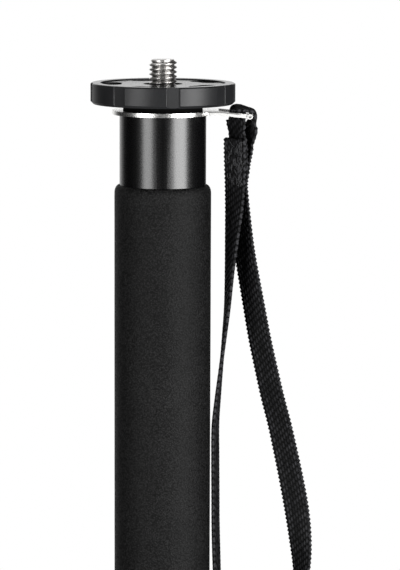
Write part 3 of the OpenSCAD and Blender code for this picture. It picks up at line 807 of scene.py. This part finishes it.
def seam_marks(strap, start, end):
    """A row along each edge of a sewn joint and a dense bar across each of its ends."""
    marks = []
    pitch = strap.stitch * 1.35
    for u in (-SEAM_HALF, SEAM_HALF):
        for k in range(int((end - start) / pitch)):
            marks.append(straight_mark(start + k * pitch, u, start + k * pitch + strap.stitch, u))
    bar = 2.4 * MM
    teeth = 11
    for base in (start, end - bar):
        for k in range(teeth):
            low, high = (base, base + bar) if k % 2 else (base + bar, base)
            left = SEAM_HALF * (2 * k / teeth - 1)
            right = SEAM_HALF * (2 * (k + 1) / teeth - 1)
            marks.append(straight_mark(low, left, high, right))
    return marks


def tangled_marks(strap, start, end, count):
    """Stitches sewn over and over, mostly along the joint's outer side, with slack loops between them."""
    draw = random.Random(5)
    marks = []
    for k in range(count):
        along = draw.uniform(start, end)
        across = draw.triangular(-3.6, 4.0, 3.2) * MM
        if k % 4 == 0:
            marks.append(loop_mark(along, across, draw.uniform(0.55, 0.80) * MM))
            continue
        lean = draw.uniform(-0.9, 0.9)
        reach = draw.uniform(0.5, 0.95) * strap.stitch
        room = STITCH_REACH - abs(across)
        da = reach * math.cos(lean)
        du = max(-room, min(reach * math.sin(lean), room))
        marks.append(straight_mark(along - da, across - du, along + da, across + du))
    return marks


def sew(shape, strap, stations, marks, facing):
    """Threads that lie along marks on one face of the webbing and go into it at both ends."""
    step = stations[1][3]
    rest = strap.thickness / 2 + strap.thread * 0.25
    sunk = strap.thickness / 2 - strap.thread * 0.4
    for mark in marks:
        points = []
        for k, (along, across) in enumerate(mark):
            spot, side, out, _ = stations[min(max(round(along / step), 0), len(stations) - 1)]
            lift = sunk if k in (0, len(mark) - 1) else rest
            points.append(spot + side * across + out * (facing * lift))
        add_thread(shape, points, strap.thread / 2)


# Foam grip
def build_grip(shape, grip):
    """A sleeve with soft round ends and a slightly uneven skin."""
    low = GRIP_LOW[2]
    high = GRIP_HIGH[2]
    outer = GRIP_HIGH[0]
    inner = outer - grip.wall
    outline = [(inner, low)]
    corner = 7
    for k in range(corner + 1):
        angle = -math.pi / 2 + math.pi / 2 * k / corner
        out = outer - grip.edge + grip.edge * math.cos(angle)
        outline.append((out, low + grip.edge_rise * (1 + math.sin(angle))))
    bands = 150
    for k in range(1, bands):
        outline.append((outer, low + grip.edge_rise + (high - low - 2 * grip.edge_rise) * k / bands))
    for k in range(corner + 1):
        angle = math.pi / 2 * k / corner
        out = outer - grip.edge + grip.edge * math.cos(angle)
        outline.append((out, high - grip.edge_rise * (1 - math.sin(angle))))
    outline.append((inner, high))
    rows = []
    for r, z in outline:
        ring = circle(r, z, grip.steps)
        if r > inner:
            ring = [p + Vector((p.x, p.y, 0)).normalized() * skin_wave(p, grip.swell) for p in ring]
        rows.append([shape.verts.new(p) for p in ring])
    for lower, upper in zip(rows, rows[1:] + rows[:1]):
        join_rows(shape, lower, upper)


def skin_wave(point, depth):
    """Unevenness of the foam, never outside its CAD size."""
    wave = noise.noise(point * 90.0) * 0.6 + noise.noise(point * 420.0) * 0.4
    return depth * (wave - 1.0) * 0.5


class StageOperator(bpy.types.Operator):
    """Set up the camera, the softboxes, the room and the floor"""

    bl_idname = "monopod.stage"
    bl_label = "Stage"

    def execute(self, context):
        stage = context.scene.monopod_stage
        self.add_camera(context, stage)
        left = (-stage.left_turn, stage.left_width, stage.left_power)
        right = (stage.right_turn, stage.right_width, stage.right_power)
        self.add_softbox(context, "left_softbox", left, stage)
        self.add_softbox(context, "right_softbox", right, stage)
        self.light_room(context)
        self.lay_floor(context, stage)
        context.scene.view_settings.view_transform = "Standard"
        return {"FINISHED"}

    def add_camera(self, context, stage):
        data = bpy.data.cameras.new("camera")
        data.sensor_width = 36
        data.lens = stage.lens
        data.clip_end = 20
        camera = bpy.data.objects.new("camera", data)
        context.scene.collection.objects.link(camera)
        camera.location = (stage.camera_side, -stage.camera_back, stage.camera_up)
        camera.rotation_euler = (math.radians(90) - stage.camera_pitch, stage.camera_roll, 0)
        context.scene.camera = camera

    def add_softbox(self, context, name, setting, stage):
        turn, width, power = setting
        data = bpy.data.lights.new(name, "AREA")
        data.shape = "RECTANGLE"
        data.size = width
        data.size_y = stage.box_height
        data.energy = power
        lamp = bpy.data.objects.new(name, data)
        context.scene.collection.objects.link(lamp)
        lamp.location = LIGHT_AIM + Vector((math.sin(turn), -math.cos(turn), 0)) * stage.box_away
        lamp.rotation_euler = (LIGHT_AIM - lamp.location).to_track_quat("-Z", "Y").to_euler()
        lamp.visible_camera = False

    def light_room(self, context):
        """White to the camera, a white wall behind the object, a panel over it and a dim room round it."""
        world = bpy.data.worlds.new("studio")
        context.scene.world = world
        world.use_nodes = True
        world.node_tree.nodes.clear()
        graph = Graph(world.node_tree)
        direction = graph.add("ShaderNodeTexCoord", output="Generated")
        parts = (WALL, WALL_END, PANEL)
        middle, left, panel = (graph.dot(direction, way).ramp(start, gain) for way, start, gain in parts)
        wall = (middle + left).clamped()
        above = graph.axis("Z", direction)
        seen = graph.add("ShaderNodeLightPath", output="Is Camera Ray")
        through = graph.add("ShaderNodeLightPath", output="Is Transmission Ray")
        mirrored = graph.add("ShaderNodeLightPath", output="Is Glossy Ray")
        shown = (seen + through).clamped()
        reflected = ROOM_LEVEL + wall * (1 - ROOM_LEVEL) + panel * PANEL_LEVEL
        soft = 0.18 + above.clamped() * 0.2
        level = shown + (1.0 - shown) * (mirrored * reflected + (1.0 - mirrored) * soft)
        light = graph.add("ShaderNodeBackground", None, {"Color": (1.0, 1.0, 1.0), "Strength": level})
        graph.add("ShaderNodeOutputWorld", None, {"Surface": light})

    def lay_floor(self, context, stage):
        mesh = bpy.data.meshes.new("floor")
        shape = bmesh.new()
        bmesh.ops.create_circle(shape, cap_ends=True, radius=stage.floor_radius, segments=96)
        shape.to_mesh(mesh)
        shape.free()
        floor = bpy.data.objects.new("floor", mesh)
        context.scene.collection.objects.link(floor)
        floor.location = (0, 0, CAD_BOX[0][2] - stage.floor_drop - FLOOR_GAP)
        material = bpy.data.materials.new("pale_floor")
        material.use_nodes = True
        material.node_tree.nodes.clear()
        graph = Graph(material.node_tree)
        matte = graph.add("ShaderNodeBsdfDiffuse", None, {"Color": (0.82, 0.82, 0.82)})
        glow = graph.add("ShaderNodeEmission", None, {"Color": (1.0, 1.0, 1.0), "Strength": 1.0})
        clear = graph.add("ShaderNodeBsdfTransparent")
        seen = graph.add("ShaderNodeLightPath", output="Is Camera Ray")
        lit = graph.add("ShaderNodeMixShader", None, {0: seen * 0.55, 1: matte, 2: glow})
        spot = graph.place()
        reach = graph.add("ShaderNodeVectorMath", {"operation": "LENGTH"}, {0: spot}, output="Value")
        fade = (reach / stage.floor_radius).ramp(0.45, 2.0)
        faded = graph.add("ShaderNodeMixShader", None, {0: fade, 1: lit, 2: clear})
        graph.add("ShaderNodeOutputMaterial", None, {"Surface": faded})
        mesh.materials.append(material)


class StrapOperator(bpy.types.Operator):
    """Weave the wrist strap and sew its joint"""

    bl_idname = "monopod.strap"
    bl_label = "Wrist strap"

    def execute(self, context):
        strap = context.scene.monopod_strap
        colours = context.scene.monopod_colours
        stations, total = strap_stations(strap.step)
        webbing = new_piece(
            "wrist_webbing", lambda shape: build_webbing(shape, strap, stations, total),
            webbing_finish(colours), "strap_bracket",
        )
        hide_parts("wrist_strap")
        thread = coated("sewing_thread", colours.thread, 0.55, 0.0003, spread=0.4, depth=0.00005)
        start, middle, end = (total - back * MM for back in FRONT_SEAM)
        front = tangled_marks(strap, start, end, FRONT_STITCHES)
        back_at = min(stations, key=lambda s: (s[0] - JOINT_BACK * MM).length)[3]
        back = seam_marks(strap, back_at - BACK_SEAM[0] * MM, back_at + BACK_SEAM[1] * MM)

        def all_stitches(shape):
            sew(shape, strap, stations, front, self.outward(stations, middle, -1))
            sew(shape, strap, stations, back, self.outward(stations, back_at, 1))

        stitches = new_piece("strap_stitches", all_stitches, thread, "strap_bracket")
        return {"FINISHED"}

    def outward(self, stations, along, y_sign):
        """Which face of the webbing looks to that side of the object."""
        out = stations[round(along / stations[1][3])][2]
        return 1 if out.y * y_sign > 0 else -1


class StudOperator(bpy.types.Operator):
    """Cut the camera stud's thread"""

    bl_idname = "monopod.stud"
    bl_label = "Camera stud"

    def execute(self, context):
        stud = context.scene.monopod_stud
        colours = context.scene.monopod_colours
        root = STUD_HIGH[0] - stud.depth * SHADE_DEPTH
        steel = turned_finish("stud_steel", colours.steel, 0.33, root=root)
        piece = new_piece(
            "threaded_stud", lambda shape: build_stud(shape, stud), steel, "head",
        )
        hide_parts("camera_stud")
        return {"FINISHED"}


class PlatformOperator(bpy.types.Operator):
    """Finish the camera platform and its set screw"""

    bl_idname = "monopod.platform"
    bl_label = "Platform"

    def execute(self, context):
        colours = context.scene.monopod_colours
        dress("mounting_disc", platform_finish(colours), edge=0.28 * MM)
        black = turned_finish("black_screw", colours.dark_steel, 0.35)
        dress("stud_set_screw", black, edge=0.1 * MM)
        return {"FINISHED"}


class BracketOperator(bpy.types.Operator):
    """Plate the strap bracket"""

    bl_idname = "monopod.bracket"
    bl_label = "Strap bracket"

    def execute(self, context):
        dress("strap_bracket", plated_finish(context.scene.monopod_colours), edge=0.28 * MM)
        return {"FINISHED"}


class TubesOperator(bpy.types.Operator):
    """Anodise the tubes and finish what guides and pins them"""

    bl_idname = "monopod.tubes"
    bl_label = "Tubes"

    def execute(self, context):
        colours = context.scene.monopod_colours
        black = tube_finish(colours)
        nylon = coated("natural_nylon", colours.nylon, 0.45, 0.0006, spread=0.06)
        dress("upper_tube", black)
        for k in INNER_TUBES:
            dress("tube_%d" % k, black)
            dress("guide_bush_%d" % k, nylon)
        dress("head_pin", turned_finish("pin_steel", colours.steel, 0.3))
        return {"FINISHED"}


class GripOperator(bpy.types.Operator):
    """Make the foam grip"""

    bl_idname = "monopod.grip"
    bl_label = "Foam grip"

    def execute(self, context):
        grip = context.scene.monopod_grip
        foam = foam_finish(context.scene.monopod_colours, grip.cell)
        sleeve = new_piece("foam_sleeve", lambda shape: build_grip(shape, grip), foam, "head")
        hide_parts("foam_grip")
        return {"FINISHED"}


class LocksOperator(bpy.types.Operator):
    """Finish the three flip locks"""

    bl_idname = "monopod.locks"
    bl_label = "Flip locks"

    def execute(self, context):
        colours = context.scene.monopod_colours
        housing = coated("moulded_housing", colours.housing, 0.48, 0.0005, depth=0.00005, wear_and_painted_highlight=0.25)
        lever = coated("moulded_lever", colours.lever, 0.36, 0.0004, depth=0.00003, wear_and_painted_highlight=0.3)
        steel = turned_finish("lock_steel", colours.steel, 0.28)
        nylon = coated("shoe_nylon", colours.nylon, 0.45, 0.0006, spread=0.06)
        for i in LOCKS:
            dress("lock_housing_%d" % i, housing, edge=0.25 * MM)
            dress("lock_lever_%d" % i, lever, edge=0.35 * MM)
            dress("lever_pin_%d" % i, steel, edge=0.2 * MM)
            dress("housing_screw_%d" % i, steel, edge=0.15 * MM)
            dress("brake_shoe_%d" % i, nylon)
        return {"FINISHED"}


class FootOperator(bpy.types.Operator):
    """Finish the rubber foot and its plug"""

    bl_idname = "monopod.foot"
    bl_label = "Foot"

    def execute(self, context):
        colours = context.scene.monopod_colours
        dress("rubber_foot", coated("foot_rubber", colours.rubber, 0.62, 0.0005, depth=0.00006, wear_and_painted_highlight=0.3))
        dress("foot_plug", coated("plug_plastic", colours.housing, 0.45, 0.0005))
        return {"FINISHED"}


class MonopodPanel(bpy.types.Panel):
    """Sizes, colours and steps of the monopod"""

    bl_idname = "VIEW3D_PT_monopod"
    bl_label = "Camera monopod"
    bl_space_type = "VIEW_3D"
    bl_region_type = "UI"
    bl_category = "Monopod"

    def draw(self, context):
        for operator in OPERATORS:
            self.layout.operator(operator.bl_idname)
        for name in GROUPS:
            group = getattr(context.scene, name)
            box = self.layout.box()
            for key in group.__annotations__:
                box.prop(group, key)


GROUPS = {
    "monopod_stage": MonopodStage,
    "monopod_colours": MonopodColours,
    "monopod_stud": MonopodStud,
    "monopod_strap": MonopodStrap,
    "monopod_grip": MonopodGrip,
}
OPERATORS = (
    StageOperator, StrapOperator, StudOperator, PlatformOperator, BracketOperator,
    TubesOperator, GripOperator, LocksOperator, FootOperator,
)


def register():
    for item in (*GROUPS.values(), *OPERATORS, MonopodPanel):
        bpy.utils.register_class(item)
    for name, group in GROUPS.items():
        setattr(bpy.types.Scene, name, PointerProperty(type=group))


def unregister():
    for name in GROUPS:
        delattr(bpy.types.Scene, name)
    for item in reversed((*GROUPS.values(), *OPERATORS, MonopodPanel)):
        bpy.utils.unregister_class(item)


def main():
    register()
    for operator in OPERATORS:
        module, name = operator.bl_idname.split(".")
        getattr(getattr(bpy.ops, module), name)()


if __name__ == "__main__":
    main()
